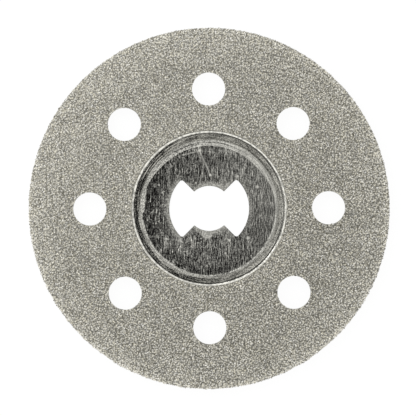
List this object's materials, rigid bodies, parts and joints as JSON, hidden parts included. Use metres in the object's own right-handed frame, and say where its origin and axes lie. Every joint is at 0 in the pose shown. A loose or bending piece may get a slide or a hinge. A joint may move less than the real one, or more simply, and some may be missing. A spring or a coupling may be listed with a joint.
{
  "type": "diamond cutting disc",
  "caption": "Thin steel cutting disc plated with diamond grit on both faces and the rim, with a pressed bare hub, a bow-tie arbor opening and a ring of vent holes.",
  "frame": {"origin": "on the disc's axis, in the plane of the hub's back face, on which the disc lies", "axes": "+Z along the axis, towards the open side of the pressed hub; +X through the wings of the bow-tie opening"},
  "size_m": [0.038, 0.038, 0.0016],
  "materials": {
    "bare_steel": "brushed, lightly scratched bare steel",
    "diamond_grit": "matte, gritty nickel plating full of diamond grains"
  },
  "bodies": {
    "root": {"steel_blank": "bare_steel", "grit_coating": "diamond_grit"}
  },
  "joints": []
}
